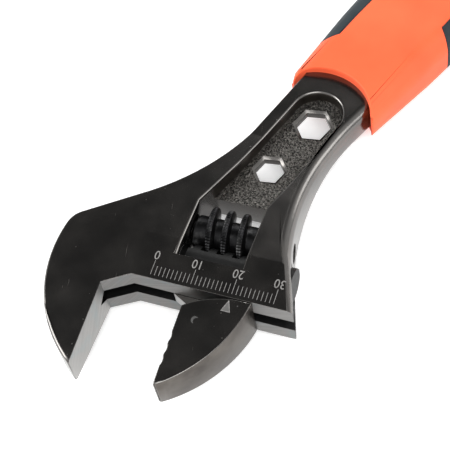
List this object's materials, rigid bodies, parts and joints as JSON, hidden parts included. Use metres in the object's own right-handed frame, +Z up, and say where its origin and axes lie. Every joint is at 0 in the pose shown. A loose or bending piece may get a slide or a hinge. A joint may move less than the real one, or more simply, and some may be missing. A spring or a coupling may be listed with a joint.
{
  "type": "adjustable wrench",
  "caption": "Adjustable wrench lying flat: forged steel head with a worm-driven sliding jaw, waisted shank with hexagon holes, and a two-colour plastic grip with a hanging hole.",
  "frame": {"origin": "centre of the footprint's bounding box, on the surface the wrench lies on", "axes": "+X runs along the handle from the jaws to the butt, +Y points to the fixed jaw's side, +Z up through the scale face"},
  "size_m": [0.2, 0.0584, 0.0156],
  "materials": {
    "black_nickel": "black nickel plate over forged and ground steel",
    "black_oxide": "black oxide",
    "pin_steel": "blackened",
    "spring_steel": "bright",
    "orange_grip": "fine satin",
    "black_grip": "matt"
  },
  "bodies": {
    "body": {"frame": "black_nickel", "worm_pin": "pin_steel", "worm_spring": "spring_steel", "grip_sleeve": "orange_grip", "inlay_left": "black_grip", "inlay_right": "black_grip", "grip_butt": "black_grip"},
    "jaw": {"movable_jaw": "black_nickel"},
    "worm": {"worm_screw": "black_oxide"}
  },
  "joints": [
    {"name": "jaw_slide", "type": "slide", "parent": "body", "child": "jaw", "axis": [0.3827, -0.9239, 0], "range_m": [-0.0203, 0.0096]},
    {"name": "worm_spin", "type": "hinge", "parent": "body", "child": "worm", "pos_m": [-0.05136, -0.00134, 0.0078], "axis": [0.3827, -0.9239, 0], "range_deg": [-888, 1876]}
  ],
  "couplings": [
    {"joint": "worm_spin", "follows": "jaw_slide", "rad_per_m": -1611.1}
  ]
}
